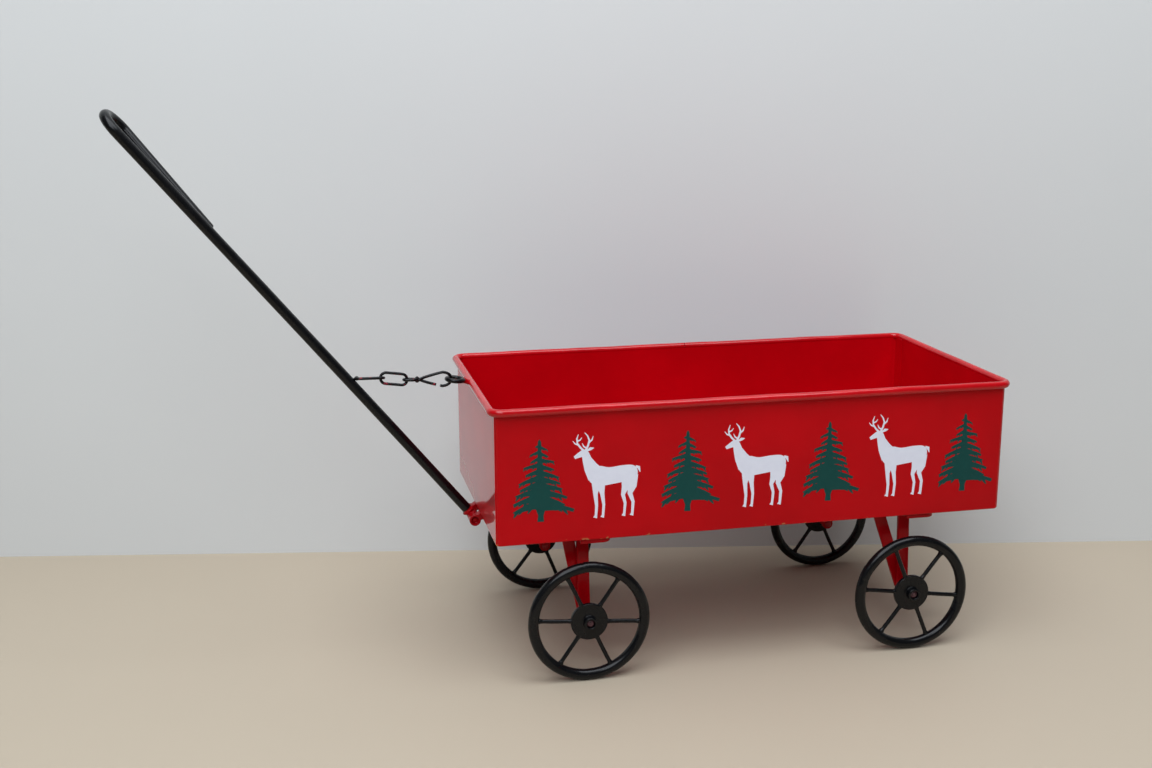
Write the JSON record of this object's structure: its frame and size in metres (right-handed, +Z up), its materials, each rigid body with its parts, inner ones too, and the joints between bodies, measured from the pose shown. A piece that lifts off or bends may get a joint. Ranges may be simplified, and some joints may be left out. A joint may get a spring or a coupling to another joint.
{
  "type": "toy wagon with pull handle",
  "caption": "Low sheet-metal toy wagon: open tray with a rolled rim on rod wheels, and a hinged towing rod with a hand loop held up by a short chain and hook.",
  "frame": {"origin": "centre of the bounding box's footprint, on the ground under the wheels", "axes": "+X points forward, the way the handle leans, +Y is the wagon's left side, +Z is up"},
  "size_m": [0.5851, 0.18, 0.3713],
  "materials": {
    "red_enamel": "glossy red enamel over sheet steel and bar",
    "black_enamel": "semi-gloss black enamel over steel rod",
    "bare_steel": "bare drawn wire, hidden in the rim"
  },
  "bodies": {
    "tray": {"floor_pan": "red_enamel", "side_panel_left": "red_enamel", "side_panel_right": "red_enamel", "front_panel": "red_enamel", "rear_panel": "red_enamel", "rim_bead": "red_enamel", "rim_wire": "bare_steel", "strut_front_left_inner": "red_enamel", "strut_front_left_outer": "red_enamel", "strut_front_right_inner": "red_enamel", "strut_front_right_outer": "red_enamel", "strut_rear_left_inner": "red_enamel", "strut_rear_left_outer": "red_enamel", "strut_rear_right_inner": "red_enamel", "strut_rear_right_outer": "red_enamel", "axle_front_left": "red_enamel", "axle_front_right": "red_enamel", "axle_rear_left": "red_enamel", "axle_rear_right": "red_enamel", "spacer_front_left": "red_enamel", "spacer_front_right": "red_enamel", "spacer_rear_left": "red_enamel", "spacer_rear_right": "red_enamel", "hitch_bracket": "red_enamel", "hitch_pin": "red_enamel", "chain_ring": "black_enamel", "ring_weld": "red_enamel"},
    "handle": {"handle_knuckle": "red_enamel", "handle_rod": "black_enamel", "loop_bend": "black_enamel", "loop_return": "black_enamel", "handle_link": "black_enamel"},
    "chain_link": {"chain_link": "black_enamel"},
    "chain_hook": {"chain_hook": "black_enamel"},
    "wheel_front_left": {"wheel_front_left_ring": "black_enamel", "wheel_front_left_spokes": "black_enamel", "wheel_front_left_hub": "black_enamel"},
    "wheel_front_right": {"wheel_front_right_ring": "black_enamel", "wheel_front_right_spokes": "black_enamel", "wheel_front_right_hub": "black_enamel"},
    "wheel_rear_left": {"wheel_rear_left_ring": "black_enamel", "wheel_rear_left_spokes": "black_enamel", "wheel_rear_left_hub": "black_enamel"},
    "wheel_rear_right": {"wheel_rear_right_ring": "black_enamel", "wheel_rear_right_spokes": "black_enamel", "wheel_rear_right_hub": "black_enamel"}
  },
  "joints": [
    {"name": "handle_hinge", "type": "hinge", "parent": "tray", "child": "handle", "pos_m": [0.06469, 0, 0.092], "axis": [0, -1, 0], "range_deg": [0, 10]},
    {"name": "link_swing", "type": "hinge", "parent": "handle", "child": "chain_link", "pos_m": [0.12255, 0, 0.19253], "axis": [0, -1, 0], "range_deg": [0, 70]},
    {"name": "hook_swing", "type": "hinge", "parent": "chain_link", "child": "chain_hook", "pos_m": [0.10933, 0, 0.19057], "axis": [0, -1, 0], "range_deg": [-90, 0]},
    {"name": "front_left_spin", "type": "hinge", "parent": "tray", "child": "wheel_front_left", "pos_m": [0.00069, 0.084, 0.041], "axis": [0, 1, 0], "continuous": true},
    {"name": "front_right_spin", "type": "hinge", "parent": "tray", "child": "wheel_front_right", "pos_m": [0.00069, -0.084, 0.041], "axis": [0, 1, 0], "continuous": true},
    {"name": "rear_left_spin", "type": "hinge", "parent": "tray", "child": "wheel_rear_left", "pos_m": [-0.22731, 0.084, 0.041], "axis": [0, 1, 0], "continuous": true},
    {"name": "rear_right_spin", "type": "hinge", "parent": "tray", "child": "wheel_rear_right", "pos_m": [-0.22731, -0.084, 0.041], "axis": [0, 1, 0], "continuous": true}
  ],
  "couplings": [
    {"joint": "link_swing", "follows": "handle_hinge", "ratio": 7},
    {"joint": "hook_swing", "follows": "handle_hinge", "ratio": -9}
  ]
}
